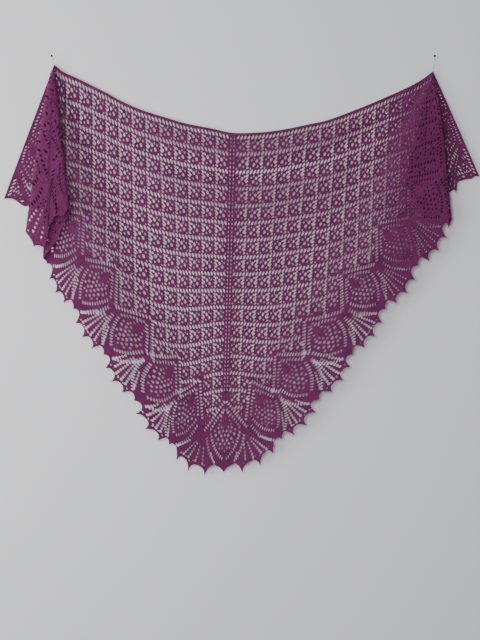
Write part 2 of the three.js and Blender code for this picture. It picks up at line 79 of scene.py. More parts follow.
# leaf, column at the top edge, column at the hem, where the leaf end hangs: x, z
RIBS = np.array([
    (-5, -12.77, -13.8, -536.4, -538.6),
    (-4, -11.2, -11.4, -464.9, -661.5),
    (-3, -8.97, -9.1, -382.1, -786.4),
    (-2, -6.78, -7.08, -299.3, -907.6),
    (-1, -4.42, -5.05, -205.3, -1033.6),
    (0, 0, 0, -54.6, -1108.4),
    (1, 4.2, 4.75, 105.2, -1017.1),
    (2, 6.6, 6.9, 206.1, -904.3),
    (3, 8.75, 8.9, 297.4, -785.5),
    (4, 10.95, 11.2, 385.7, -661.8),
    (5, 12.9, 13.55, 475.1, -543.8),
    (6, 14.2, 15.75, 559.5, -428.3),
])
# columns of the leaf ends past the outermost rib, in the wings
WING_ENDS = {-1: (16.15, 18.5, 20.85), 1: (18.1, 20.5)}
TIP_END = (21.9, 2.1)

# how far along from one leaf end to the next, and how far out
SCALLOPS = np.array([
    (0, 0), (0.02, -5), (0.06, -10), (0.12, -12), (0.165, -8), (0.195, 2), (0.21, 12),
    (0.222, 26), (0.235, 15), (0.26, 9), (0.3, 5.5), (0.355, 4), (0.41, 6.5), (0.45, 12),
    (0.475, 20), (0.49, 34), (0.505, 20), (0.53, 12), (0.57, 6.5), (0.63, 4), (0.69, 5),
    (0.73, 9), (0.755, 15), (0.77, 26), (0.782, 12), (0.8, 2), (0.83, -7), (0.88, -12),
    (0.93, -12), (0.975, -6), (1, 0),
])
# the centre fans spread wider: where the spikes stand there, and where in the table
CENTRE_SPIKES = ((0, 0.31, 0.61, 0.83, 1), (0, 0.222, 0.49, 0.77, 1))
CENTRE_BULGE = {-1: 6.0, 1: 4.0}  # how far the centre's hem bows out, left and right
SCALLOP_REACH = 70  # further inside the hem a point is past no scallop
SLANT = 0.7  # each way along the way out of a slanting hem
TIP = {"slant": 0.05, "near": 20}  # how the end of the top edge is cut

# the swag under the top edge: how far down in crease depths, and how far forward
SWAG = np.array([
    (-1, 0), (0, 0), (0.5, 18), (1, -4), (1.5, 8), (2.5, 3), (4, 0), (9, 0), (30, 0),
])
CREASE = {"middle": 104.0, "side": 83.0, "inner": 180.0, "outer": 360.0}
TENT = {"peak": 12.0, "dip": 15.0, "dip_at": 4.2, "rows_in": (7, 15), "rows_out": (16.4, 19)}
HANG = {"top": 6.5, "hem": 7.5, "flare": 2.5}
ROW_EASE = 0.15  # how far the rows nearer the pins are drawn down
LIFT = {-1: (10, 27), 1: (19, 34)}  # degrees from plumb over which the panel leaves a wing's layer

# each pin: x, z, and its layers as distance from the wall at the pin and lower
PINS = {-1: (-520.2, 8.9), 1: (520.2, -8.9)}
LAYERS = {
    -1: np.array([(3, 9), (5, 20), (7, 30), (9, 42), (11, 54)]),
    1: np.array([(3, 9), (5, 20), (7, 32)]),
}
MAIN_LAYER = 2
LAYER_REACH = 110.0
FOLD_BULGE = 8.0
PIN_CLEAR = 16.0  # shifts and folds grow over this far from the pin
# cloth that a change of layer or a shift takes up, against a degree of turn
STRIDE = {"layer": 2.2, "shift": 0.25}
FLATTEST = 0.05  # least cosine of an angle to the top edge
# soft creases that fan from the pins: side, angle from plumb, width in degrees, depth, from, to
CREASES = (
    (-1, 33, 2.6, 2.6, 40, 420),
    (-1, 41, 2.0, -2.2, 30, 300),
    (-1, 50, 2.2, 3.0, 30, 380),
    (-1, 57, 1.6, -1.8, 25, 260),
    (1, -38, 2.4, 2.4, 40, 360),
    (1, -46, 2.0, -2.4, 30, 330),
    (1, -54, 2.2, 2.8, 30, 400),
    (1, -58.5, 1.5, -1.6, 25, 230),
)
CREASE_FADE = {"in": (0.4, 1.6), "out": 0.5}
BISECTIONS = 26


def fold(angle, start, end, turn, across, reach_from, reach_to):
    """Three sections that carry the cloth round a fold."""
    return [
        (
            angle,
            start + (end - start) * share,
            turn * out * abs(end - start),
            across,
            reach_from + (reach_to - reach_from) * share,
        )
        for share, out in ((0.15, 0.7), (0.5, 1.0), (0.85, 0.7))
    ]


# sections from the outer edge to the panel: angle, layer, turn, shift across, reach to the hem
WINGS = {
    -1: [
        (-20.4, 0, 0, 0, 393), (-18.3, 0, 0, 0.2, 387), (-16.4, 0, 0, 0.2, 387),
        (-14.3, 0, 0, 0, 393), (-11.7, 0, 0, 0, 400), (-9.2, 0, 0, 0, 394),
        (-6, 0, 0, 0, 388), (-2, 0, 0, 0, 388), (2, 0, 0, 0, 384), (5, 0, 0, 0, 388),
        *fold(5, 0, 1, 1, 0, 390, 392),
        (5, 1, 0, 0, 392), (1, 1, 0, 0, 388), (-2.5, 1, 0, 0, 394), (-5.5, 1, 0, 0, 398),
        (-7.7, 1, 0, 0, 408),
        *fold(-7.7, 1, 4, -1, 0, 425, 465),
        (-7.7, 4, 0, 0, 472), (-5.5, 4, 0, 0, 488), (-3.5, 4, 0, 0, 497),
        (-1.8, 4, 0, 0, 497), (-0.5, 4, 0, 0, 436), (1.5, 4, 0, 0, 424), (4, 4, 0, 0, 424),
        (6, 4, 0, 0, 412),
        *fold(6, 4, 3, 1, 0, 410, 410),
        (6, 3, 0, 0, 414), (3.5, 3, 0, 0, 450), (1, 3, 0, 0, 485), (-1.2, 3, 0, 0, 515),
        *fold(-1.7, 3, 2, -1, -4, 528, 540),
        (-1.7, 2, 0, -4, 544), (-1.7, 2, 0, 0, 547.4),
    ],
    1: [
        (23.6, 0, 0, 0, 316), (21.6, 0, 0, -0.2, 310), (19.5, 0, 0, -0.2, 314),
        (16.3, 0, 0, 0, 312), (12.9, 0, 0, 0, 314), (10.8, 0, 0, 0, 322),
        (8.2, 0, 0, 0, 330), (5.5, 0, 0, 0, 336), (3, 0, 0, 0, 330), (-1, 0, 0, 0, 326),
        (-5, 0, 0, 0, 318), (-9, 0, 0, 0, 314), (-13.4, 0, 0, 0, 306),
        *fold(-13.4, 0, 1, -1, 0, 306, 312),
        (-13.4, 1, 0, 0, 318), (-10.5, 1, 0, 0, 358), (-7, 1, 0, 0, 380), (-3, 1, 0, 0, 398),
        (1, 1, 0, 0, 404), (4.6, 1, 0, 0, 412),
        *fold(5.35, 1, 2, 1, 4, 414, 417),
        (5.35, 2, 0, 4, 419), (5.35, 2, 0, 0, 421.3),
    ],
}


# Sizes and tables of the lace chart.

LATTICE, BORDER, CENTRE = range(3)  # zones of the panel
NO_GAP = 9.0  # the gap field away from every gap, whose rim is at 1
SMALLEST_BIT = 200  # cells that must hang together to be cloth
HEM_MARGIN = 5.5  # from the middle of a gap to the hem, at least
GAP_TOP_ROW = 0.2  # no gap is cut above this row
GAP_PAD = 6  # a gap is drawn this far past its rim
CORD_PAD = 2.5  # a cord is drawn this many half widths out
GAP_CLEAR, CORD_CLEAR = 9, 4  # from a leaf's roof to the lattice's gaps and cords
GAP_PAST_SPINE = 0.03  # least column of a gap in a leaf's lines
NET_GAP = {"least_column": -0.01, "tall": 0.95}
COLUMN_PITCH = 0.97  # of the block lattice, in chart columns
ROW_PITCH = 1.033
FIRST_COLUMN = 0.1
FIRST_BAND = 0.225
BAND_COUNT = 17
SPINE_EDGE = 0.3  # column where the lattice meets the spine
SPINE_FOOT = 16.2
# the spine's eyelets
SPINE_GAPS = {
    "column": 0.115, "row": 0.35, "pitch": 0.245, "count": 64, "half": (2.0, 3.8), "lean": 8,
}
SPINE_CORDS = [(0, 2.4, 1.2), (0.24, 1.8, 0.6)]  # column, half width, height
TOP_CORD = {"row": 0.04, "width": 2.2, "height": 1.3}
HEM_CORD = {"back": 1.6, "width": 1.8, "height": 0.9}
# cords of one block, each end as 0 or 1 for its near or far corner and a shift, in columns and
# then in rows; half width, height
BLOCK_CORDS = [
    ((0, -0.14, 0, 0.2), (0, -0.14, 1, -0.1), 1.8, 0.9),
    ((0, 0.14, 0, -0.11), (1, -0.14, 0, -0.11), 1.8, 0.9),
    ((0, 0.06, 0, -0.1), (0, 0.3, 0, 0.24), 1.5, 1.1),
]
FAN_ROW = 17  # the centre's fans start below this row
FAN_JOIN = (75, 113)  # where two leaves join above a fan, across and along the first
CENTRE_JOIN = (0.05, 18.05)  # the same for the centre: column past the leaf's top, and row
FAN_PITCH = 9.6
FAN_START = {"near": 40.0, "far": 60.0}
FAN_GAP = {"half": 2.2, "growth": 1.5, "tall": 1.2, "short_of_hem": 8}
BLADE = {"from": 0.12, "to": 0.97, "width": 4.2, "height": 0.8}
HEM_GAP = {"half": (1.7, 2.8), "lean": 65}
# short gaps along the hem beside a fan's line: to its side and back from the edge, in mm
HEM_GAPS = ((8, 7.5), (-8, 7.5))
# where each line of a fan meets the hem
FAN_LINES = [
    (0.13, "far"), (0.222, "blade"), (0.285, "near"), (0.415, "near"),
    (0.49, "blade"), (0.57, "near"), (0.7, "near"), (0.77, "blade"), (0.855, "far"),
]
# gaps of one block: across and down in blocks, half sizes in mm, lean
BLOCK_GAPS = [
    (0.02, 0.04, 3.0, 6.2, 34), (0.27, 0.05, 3.0, 6.7, 30), (0.51, 0.07, 3.0, 6.7, 28),
    (0.76, 0.05, 3.0, 6.4, 32),
    (0.0, 0.27, 2.6, 5.5, 57), (-0.01, 0.45, 2.5, 5.3, 57), (-0.01, 0.63, 2.5, 5.0, 57),
    (-0.01, 0.81, 2.5, 4.6, 57),
    (0.64, 0.44, 3.7, 4.9, 25), (0.43, 0.64, 3.7, 4.9, 25), (0.82, 0.3, 2.4, 3.4, 20),
    (0.29, 0.4, 2.3, 3.1, 30), (0.7, 0.75, 2.4, 3.2, 30), (0.22, 0.84, 2.1, 2.8, 30),
    (0.46, 0.31, 2.1, 2.7, 30), (0.86, 0.57, 2.3, 3.1, 0),
]
# half width of a leaf's roof against the height above its end
ROOF = ((115, 122, 143, 176, 190), (90, 76, 44, 12, 0))
# half width of a leaf's solid side against the height above its end
LEAF_SIDE = np.array([(0, 0), (16, 8), (31, 24), (54, 40), (82, 46), (107, 58), (113, 75)])
# lines of gaps on one side of a leaf: points, pitch, half sizes first to last, lean
LEAF_LINES = [
    ([(5, 180), (40, 147), (74, 117)], 8.4, (2.6, 2.7), (5.4, 5.6), 12),
    ([(5, 160), (30, 139), (50, 117)], 8.4, (2.4, 2.6), (4.2, 4.4), 12),
    ([(50, 104), (45, 87), (37, 69), (24, 52), (8, 38)], 8.0, (2.6, 2.5), (5.2, 5.0), 10),
    ([(7, 153), (13, 144), (15, 134), (20, 126)], 9.2, (2.1, 2.3), (3.2, 3.2), 0),
    ([(66, 94), (63, 78), (55, 54), (41, 33), (24, 17)], 8.2, (2.6, 2.5), (5.6, 4.6), 10),
]
# round gaps of the net: across, along, half size
LEAF_NET = [
    (11, 119, 3.3), (23, 118, 3.6), (35, 112, 3.2), (6, 109, 3.4), (19, 108, 4.0),
    (32, 101, 4.0), (12, 98, 4.2), (0, 99, 3.4), (23, 90, 4.2), (7, 87, 4.2), (15, 78, 4.0),
    (0, 77, 3.8), (8, 67, 3.6), (29, 80, 3.3), (0, 58, 3.2), (18, 66, 3.0),
]
# raised cords on one side of a leaf: points, half width, height
LEAF_CORDS = [
    ([(0, 190), (40, 155), (78, 121)], 1.7, 1.0),
    ([(0, 169), (34, 142), (58, 121)], 2.6, 0.7),
    ([(42, 106), (37, 84), (20, 63), (0, 50)], 1.6, 1.0),
    ([(57, 108), (54, 82), (46, 60), (31, 40), (12, 22), (0, 14)], 1.7, 0.9),
    ([(72, 108), (69, 84), (61, 56), (46, 32), (26, 12)], 1.6, 0.9),
    ([(0, 147), (6, 140), (5, 132), (0, 128)], 1.8, 1.1),
    ([(26, 137), (37, 120), (44, 108)], 3.5, 0.6),
]
# grids of the chart, in columns and rows
PANEL_SPAN = ((0, 16.4), (0, 22))
WING_SPAN = {"last_column": TIP_COLUMN + 0.1, "last_row": 11.6}
# where the cloth lies in layers its gaps close up: columns, and sizes against the open lace; one
# less the size is also painted shade on the yarn there
PANEL_GAPS = {-1: ((0, 1), (1, 1)), 1: ((10, 12.5), (1, 0.68))}
WING_GAPS = ((17, 19.5), (0.66, 0.86))
WING_SCALLOP = {-1: 0.35, 1: 0.6}  # height of the scallops against the panel's
# the grid's corners with the gap field in this range are eased on to a gap's rim, by a share of a
# step at most, and those this near the hem in mm on to the hem
RIM = {"from": 0.2, "to": 2.2, "step": 0.75, "hem": 4}
RAISED = 0.0009  # metres a cord of height 1 stands out
RIM_SHADE = {"share": 0.8, "width": 0.42}  # painted shade that darkens the yarn round a gap

# Sizes of the materials and the stage.

STITCH_WIDTH = 0.0019
STITCH_HEIGHT = 0.0021
VIEW = {"distance": 3.4, "x": -0.0098, "z": -0.6915, "height": 1.76}
SENSOR = 36  # millimetres
WALL = {"size": 7.0, "at": (0, 0.0005, -0.7)}
WORLD = {"colour": (0.9, 0.92, 1.0, 1), "strength": 0.34}
# size, where it stands, where it points, watts
LIGHTS = {
    "key": (0.9, (-0.62, -3.1, -0.22), (-0.15, 0, -0.65), 52),
    "fill": (2.2, (-2.5, -1.7, -0.5), (-0.3, 0, -0.7), 84),
    "back": (3.0, (0, 3.2, 1.0), (0, 0, -0.6), 90),
}


# Smooth curves.


def curve(table, at, column=1):
    """Cubic through the rows of a table, slopes from the neighbours."""
    x, y = table[:, 0], table[:, column]
    low = np.maximum(np.arange(len(x)) - 1, 0)
    high = np.minimum(np.arange(len(x)) + 1, len(x) - 1)
    slope = (y[high] - y[low]) / (x[high] - x[low])
    i = np.clip(np.searchsorted(x, at, side="right") - 1, 0, len(x) - 2)
    span = x[i + 1] - x[i]
    t = (at - x[i]) / span
    t2, t3 = t * t, t * t * t
    return (
        (2 * t3 - 3 * t2 + 1) * y[i]
        + (t3 - 2 * t2 + t) * span * slope[i]
        + (3 * t2 - 2 * t3) * y[i + 1]
        + (t3 - t2) * span * slope[i + 1]
    )


def smoothstep(low, high, value):
    t = np.clip((value - low) / (high - low), 0, 1)
    return t * t * (3 - 2 * t)


def lerp(a, b, t):
    return a + (b - a) * t


STEPS = np.hypot(*np.diff(TOP_EDGE, axis=0).T)
ALONG = np.column_stack([np.concatenate([[0], np.cumsum(STEPS)]), TOP_EDGE[:, 0]])
SPINE_ALONG = float(curve(ALONG[:, ::-1], np.array([SPINE_X]))[0])
RIB_ROWS = np.column_stack([
    RIBS[:, 0],
    np.where(RIBS[:, 0] == 0, BOTTOM_ROW, HEM_LINE - np.abs(RIBS[:, 2])),
])


# The main panel, from the flat cloth to where it hangs.


def top_point(column):
    scale = np.where(
        column < 0, SPINE_ALONG / -RIBS[0, 1], (ALONG[-1, 0] - SPINE_ALONG) / RIBS[-1, 1]
    )
    x = curve(ALONG, SPINE_ALONG + column * scale)
    return x, curve(TOP_EDGE, x)


def rib_through(column, row):
    low = np.full(column.shape, RIBS[0, 0])
    high = np.full(column.shape, RIBS[-1, 0])
    for _ in range(BISECTIONS):
        leaf = (low + high) / 2
        top = curve(RIBS, leaf, 1)
        at = lerp(top, curve(RIBS, leaf, 2), row / curve(RIB_ROWS, leaf))
        inside = at < column
        low = np.where(inside, leaf, low)
        high = np.where(inside, high, leaf)
    return (low + high) / 2


def spread(distance):
    return 1 - np.exp(-distance / LAYER_REACH)


def main_point(column, row):
    """Where a point of the main panel hangs, in metres."""
    leaf = rib_through(column, row)
    t = row / curve(RIB_ROWS, leaf)
    top_column = curve(RIBS, leaf, 1)
    ease = ROW_EASE * np.minimum(1, np.abs(top_column) / -RIBS[0, 1])
    g = t + ease * t * (1 - t)
    top_x, top_z = top_point(top_column)
    x = lerp(top_x, curve(RIBS, leaf, 3), g)
    z = lerp(top_z, curve(RIBS, leaf, 4), g)
    z = z + tent(column, row)
    depth = main_depth(leaf, t, x, z, top_z)
    return np.column_stack([x, -depth, z]) / METRE


def tent(column, row):
    """The rows rise to a peak at the spine, low in the shawl."""
    out = np.abs(column)
    rise = TENT["peak"] - (TENT["peak"] + TENT["dip"]) * smoothstep(0, TENT["dip_at"], out)
    rise = rise + TENT["dip"] * smoothstep(TENT["dip_at"], 2 * TENT["dip_at"], out)
    return rise * smoothstep(*TENT["rows_in"], row) * (1 - smoothstep(*TENT["rows_out"], row))


def main_depth(leaf, t, x, z, edge_z):
    (left_x, left_z), (right_x, right_z) = PINS[-1], PINS[1]
    left_angle = np.degrees(np.arctan2(x - left_x, left_z - z))
    right_angle = np.degrees(np.arctan2(x - right_x, right_z - z))
    near = np.minimum(np.hypot(x - left_x, z - left_z), np.hypot(x - right_x, z - right_z))
    left_lift = 1 - smoothstep(*LIFT[-1], left_angle)
    right_lift = 1 - smoothstep(*LIFT[1], -right_angle)
    middle = 1 - smoothstep(CREASE["inner"], CREASE["outer"], np.abs(x))
    crease = lerp(CREASE["side"], CREASE["middle"], middle)
    own = (
        lerp(HANG["top"], HANG["hem"], t)
        + middle * curve(SWAG, (edge_z - z) / crease)
        + HANG["flare"] * np.cos(2 * math.pi * leaf) * t**3
        + creases(x, z, left_angle, right_angle, near)
    )
    low = (
        (1 - left_lift) * (1 - right_lift) * own
        + left_lift * LAYERS[-1][MAIN_LAYER][1]
        + (1 - left_lift) * right_lift * LAYERS[1][MAIN_LAYER][1]
    )
    return lerp(LAYERS[-1][MAIN_LAYER][0], low, spread(near))


def creases(x, z, left_angle, right_angle, near):
    total = np.zeros_like(x)
    early, late = CREASE_FADE["in"]
    for side, angle, width, depth, start, end in CREASES:
        here = left_angle if side < 0 else right_angle
        begun = smoothstep(start * early, start * late, near)
        reach = begun * (1 - smoothstep(end * CREASE_FADE["out"], end, near))
        total += depth * reach * np.exp(-(((here - angle) / width) ** 2))
    return total


def outer_rib(side):
    return RIBS[0] if side < 0 else RIBS[-1]


def wing_point(side, column, row):
    """Where a point of a wing hangs; the column counts outward from the spine."""
    rib = outer_rib(side)
    pin_column = abs(rib[1])
    across, down = (column - pin_column) * BLOCK, row * BLOCK
    flat_reach = np.hypot(across, down)
    rib_angle = math.atan2(HEM_LINE - abs(rib[2]), abs(rib[2]) - pin_column)
    angle = np.clip(np.arctan2(down, across), 0, rib_angle)
    tip = (TIP_COLUMN - pin_column) * BLOCK / np.maximum(np.cos(angle), FLATTEST)
    hem = (HEM_LINE - pin_column) * BLOCK / (np.cos(angle) + np.sin(angle))
    share = flat_reach / np.minimum(tip, hem)
    sections = np.array(WINGS[side], dtype=float)
    moves = np.hypot(np.diff(sections[:, 0]), STRIDE["layer"] * np.diff(sections[:, 1]))
    moves += STRIDE["shift"] * np.abs(np.diff(sections[:, 3]))
    number = np.interp(
        angle / rib_angle * moves.sum(), np.concatenate([[0], np.cumsum(moves)]),
        np.arange(len(sections)),
    )
    rows = np.arange(len(sections))
    at = [curve(np.column_stack([rows, sections[:, i]]), number) for i in (0, 1, 2)]
    shift = np.interp(number, rows, sections[:, 3])
    reach = curve(np.column_stack([rows, sections[:, 4]]), number) * share
    layers = LAYERS[side]
    s = spread(reach)
    levels = np.arange(len(layers))
    layer = np.clip(at[1], 0, len(layers) - 1)
    depth = lerp(
        np.interp(layer, levels, layers[:, 0]), np.interp(layer, levels, layers[:, 1]), s
    )
    step = (lerp(layers[1, 0], layers[1, 1], s) - lerp(layers[0, 0], layers[0, 1], s)) / 2
    bulge = np.sign(at[2]) * np.minimum(FOLD_BULGE, np.abs(at[2]) * step)
    turn = np.radians(at[0])
    pin_x, pin_z = PINS[side]
    clear = np.minimum(1, reach / PIN_CLEAR)
    x = pin_x + reach * np.sin(turn) + (shift + bulge) * clear
    return np.column_stack([x, -depth, pin_z - reach * np.cos(turn)]) / METRE


# The lace chart, drawn on a fine grid of one side of the cloth.


def leaf_ends(side):
    ribs = [rib for rib in RIBS if rib[0] * side > 0]
    ribs.sort(key=lambda rib: abs(rib[0]))
    ends = [(0.0, BOTTOM_ROW)] + [(abs(rib[2]), HEM_LINE - abs(rib[2])) for rib in ribs]
    return ends + [(column, HEM_LINE - column) for column in WING_ENDS[side]]


def leaf_point(ends, k, across, along):
    """A point of leaf k, given across and along the leaf from its end, in flat mm."""
    column, row = ends[k]
    if k == 0:
        return column + across / BLOCK, row - along / BLOCK
    return column + (across - along) / DIAGONAL, row - (across + along) / DIAGONAL


def leaf_form(k):
    """Scale across and along a leaf, and its lean towards the spine's line."""
    wide, tall = CENTRE_SCALE if k == 0 else LEAF_SCALE
    taller, lean = LEAF_LEAN.get(k, (1.0, 0.0))
    return wide, tall * taller, math.radians(lean)


def chart_point(ends, k, across, along):
    wide, tall, lean = leaf_form(k)
    a, b = across * wide, along * tall
    a, b = a * math.cos(lean) + b * math.sin(lean), b * math.cos(lean) - a * math.sin(lean)
    return leaf_point(ends, k, a, b)


class Chart:
    """Gaps to cut and ridges to raise, as fields on a regular grid of columns and rows."""

    def __init__(self, side, columns, rows, cell, size_by_column, scallop=1.0):
        self.side = side
        self.solid = None
        self.size_by_column, self.scallop = size_by_column, scallop
        self.ends = leaf_ends(side)
        self.tops = [leaf_point(self.ends, k, 0, LEAF) for k in range(len(self.ends))]
        self.cells = [
            max(2, round((span[1] - span[0]) * BLOCK / cell)) for span in (columns, rows)
        ]
        self.u = np.linspace(*columns, self.cells[0] + 1)
        self.v = np.linspace(*rows, self.cells[1] + 1)
        self.column, self.row = np.meshgrid(self.u, self.v)
        self.gap = np.full(self.column.shape, NO_GAP)
        self.centre = np.zeros((2,) + self.column.shape)
        self.ridge = np.zeros(self.column.shape)
        self.hem, self.hem_out = self.beyond_hem(self.column, self.row)
        self.draw()

    def joined(self):
        """The cells left between gaps and hem, without bits that hang on nothing."""
        if self.solid is None:
            left = np.pad((corner_mean(self.gap) >= 1) & (corner_mean(self.hem) <= 0), 1)
            kept = left.copy()
            while left.any():
                bit = [tuple(np.argwhere(left)[0])]
                left[bit[0]] = False
                for j, i in bit:
                    for near in ((j + 1, i), (j - 1, i), (j, i + 1), (j, i - 1)):
                        if left[near]:
                            left[near] = False
                            bit.append(near)
                if len(bit) < SMALLEST_BIT:
                    kept[tuple(np.array(bit).T)] = False
            self.solid = kept[1:-1, 1:-1]
        return self.solid

    def window(self, low, high):
        i = slice(*np.searchsorted(self.u, (low[0], high[0])))
        j = slice(*np.searchsorted(self.v, (low[1], high[1])))
        return j, i

    def cut(self, column, row, across, along, tilt=0.0):
        """An oval gap: centre, half sizes in mm, and lean outward at its top in degrees."""
        past_hem = self.beyond_hem(np.array([column]), np.array([row]))[0][0]
        if past_hem > -HEM_MARGIN or row < GAP_TOP_ROW:
            return
        share = np.interp(column, *self.size_by_column)
        across, along = across * share, along * share
        size = (max(across, along) + GAP_PAD) / BLOCK
        at = self.window((column - size, row - size), (column + size, row + size))
        x = (self.column[at] - column) * BLOCK
        y = (self.row[at] - row) * BLOCK
        turn = math.radians(tilt)
        u = (x * math.cos(turn) + y * math.sin(turn)) / across
        v = (y * math.cos(turn) - x * math.sin(turn)) / along
        reach = np.hypot(u, v)
        nearer = reach < self.gap[at]
        self.gap[at] = np.where(nearer, reach, self.gap[at])
        self.centre[0][at] = np.where(nearer, column, self.centre[0][at])
        self.centre[1][at] = np.where(nearer, row, self.centre[1][at])

    def raise_line(self, points, width, height):
        """A cord along a line of points: half width and height in mm."""
        for (c0, r0), (c1, r1) in zip(points, points[1:]):
            pad = CORD_PAD * width / BLOCK
            low = (min(c0, c1) - pad, min(r0, r1) - pad)
            high = (max(c0, c1) + pad, max(r0, r1) + pad)
            at = self.window(low, high)
            x, y = self.column[at] - c0, self.row[at] - r0
            dc, dr = c1 - c0, r1 - r0
            t = np.clip((x * dc + y * dr) / max(dc * dc + dr * dr, 1e-9), 0, 1)
            off = np.hypot(x - t * dc, y - t * dr) * BLOCK
            raised = height * np.exp(-((off / width) ** 2))
            self.ridge[at] = np.maximum(self.ridge[at], raised)

    def beyond_hem(self, column, row):
        """How far each point lies past the hem, in mm, and the way out."""
        slope, foot = (column + row - HEM_LINE) / math.sqrt(2), row - BOTTOM_ROW
        excess = np.maximum(slope, foot) * BLOCK
        best = np.full(column.shape, 1e9)
        sloping = slope > foot
        out = np.stack([np.where(sloping, SLANT, 0.0), np.where(sloping, SLANT, 1.0)])
        ends = self.ends + [TIP_END]
        for k, (start, end) in enumerate(zip(ends, ends[1:])):
            dc, dr = end[0] - start[0], end[1] - start[1]
            size = math.hypot(dc, dr)
            along = ((column - start[0]) * dc + (row - start[1]) * dr) / size**2
            off = ((row - start[1]) * dc - (column - start[0]) * dr) / size * BLOCK
            share = along * (0.5 if k == len(ends) - 2 else 1.0)
            if k == 0:
                share = np.interp(share, *CENTRE_SPIKES)
            bulge = CENTRE_BULGE[self.side] * np.sin(math.pi * np.clip(share, 0, 1)) * (k == 0)
            past = off - self.scallop * np.interp(share, SCALLOPS[:, 0], SCALLOPS[:, 1]) - bulge
            here = (along >= 0) & (along <= 1) & (off > -SCALLOP_REACH) & (np.abs(past) < best)
            excess = np.where(here, past, excess)
            best = np.where(here, np.abs(past), best)
            out[0] = np.where(here, -dr / size, out[0])
            out[1] = np.where(here, dc / size, out[1])
        tip = (column - TIP_COLUMN + TIP["slant"] * row) * BLOCK
        at_tip = (row < TIP_END[1]) & (tip > -TIP["near"])
        excess = np.where(at_tip, tip, excess)
        out[0] = np.where(at_tip, 1.0, out[0])
        out[1] = np.where(at_tip, 0.0, out[1])
        return excess, out

    def zone(self, column, row):
        """Whether a point is in the lattice, the border, or the centre leaf and its fans."""
        zone = np.full(np.shape(column), LATTICE)
        for k, (top_column, top_row) in enumerate(self.tops):
            if k:
                zone = np.where((column >= top_column) & (row > top_row), BORDER, zone)
        zone = np.where((column < self.tops[1][0]) & (row > self.tops[1][1]), CENTRE, zone)
        x = (column - self.ends[1][0]) * DIAGONAL / 2 - (row - self.ends[1][1]) * DIAGONAL / 2
        y = -(column - self.ends[1][0] + row - self.ends[1][1]) * DIAGONAL / 2
        side = -np.interp(y, LEAF_SIDE[:, 0] * LEAF_SCALE[1], LEAF_SIDE[:, 1] * LEAF_SCALE[0])
        beside = (column >= self.tops[1][0]) & (row > self.tops[1][1]) & (x < side)
        return np.where(beside & (row > FAN_ROW), CENTRE, zone)

    def in_lattice(self, column, row, margin):
        """Whether a point lies above every leaf's roof, in the block lattice."""
        for k, (end_column, end_row) in enumerate(self.ends):
            dc, dr = column - end_column, end_row - row
            if k:
                across, along = (dc + dr) * DIAGONAL / 2, (dr - dc) * DIAGONAL / 2
            else:
                across, along = dc * BLOCK, dr * BLOCK
            wide, tall, lean = leaf_form(k)
            a = across * math.cos(lean) - along * math.sin(lean)
            b = along * math.cos(lean) + across * math.sin(lean)
            x, y = abs(a) / wide, b / tall
            in_leaf = y < ROOF[0][1] and x < ROOF[1][0]
            if in_leaf or x < np.interp(y - margin, *ROOF, right=-9):
                return False
        return True

    def draw(self):
        self.draw_ground()
        for k in range(len(self.ends)):
            for hand in (-1, 1):
                self.draw_leaf(k, hand)
            self.draw_fan(k)
        edge = np.exp(-(((self.hem + HEM_CORD["back"]) / HEM_CORD["width"]) ** 2))
        self.ridge = np.maximum(self.ridge, HEM_CORD["height"] * edge)

    def draw_ground(self):
        spine = SPINE_GAPS
        for n in range(spine["count"]):
            row = spine["row"] + n * spine["pitch"]
            self.cut(spine["column"], row, *spine["half"], spine["lean"])
        for column, width, height in SPINE_CORDS:
            self.raise_line([(column, 0), (column, SPINE_FOOT)], width, height)
        top = [(end, TOP_CORD["row"]) for end in (self.u[0], self.u[-1])]
        self.raise_line(top, TOP_CORD["width"], TOP_CORD["height"])
        first, last = int(self.u[0]), int(self.u[-1]) + 1
        for i in range(first, last + 1):
            for j in range(-1, BAND_COUNT):
                for across, down, wide, tall, tilt in BLOCK_GAPS:
                    column = FIRST_COLUMN + (i + across) * COLUMN_PITCH
                    row = FIRST_BAND + (j + down) * ROW_PITCH
                    if column > SPINE_EDGE and self.in_lattice(column, row, GAP_CLEAR):
                        self.cut(column, row, wide, tall, tilt)
                c = [FIRST_COLUMN + n * COLUMN_PITCH for n in (i, i + 1)]
                r = [FIRST_BAND + n * ROW_PITCH for n in (j, j + 1)]
                clear = self.in_lattice(c[0], r[1], CORD_CLEAR)
                if clear and c[0] > SPINE_EDGE and r[0] > 0:
                    for start, end, width, height in BLOCK_CORDS:
                        line = [(c[m] + a, r[n] + b) for m, a, n, b in (start, end)]
                        self.raise_line(line, width, height)

    def line_of_gaps(self, k, hand, points, pitch, across, along, tilt):
        """Gaps in step along a line of a leaf; sizes run from the first to the last."""
        points = np.array(points, dtype=float)
        steps = np.hypot(*np.diff(points, axis=0).T)
        total = steps.sum()
        at = np.concatenate([[0], np.cumsum(steps)])
        count = max(1, round(total / pitch))
        for n in range(count + 1):
            s = total * n / count
            wide, tall = (lerp(size[0], size[1], n / count) for size in (across, along))
            places = []
            for near in (s, s + 1, s - 1):
                x, y = np.interp(near, at, points[:, 0]), np.interp(near, at, points[:, 1])
                places.append(chart_point(self.ends, k, hand * x, y))
            (column, row), ahead, behind = places
            run = math.degrees(math.atan2(behind[1] - ahead[1], behind[0] - ahead[0]))
            if column > GAP_PAST_SPINE:
                self.cut(column, row, wide, tall, run + hand * tilt)

    def draw_leaf(self, k, hand):
        point = lambda x, y: chart_point(self.ends, k, hand * x, y)
        for points, pitch, across, along, tilt in LEAF_LINES:
            self.line_of_gaps(k, hand, points, pitch, across, along, tilt)
        for x, y, size in LEAF_NET:
            column, row = point(x, y)
            if column > NET_GAP["least_column"] and (x or hand > 0):
                self.cut(column, row, size, size * NET_GAP["tall"])
        for points, width, height in LEAF_CORDS:
            self.raise_line([point(x, y) for x, y in points], width, height)

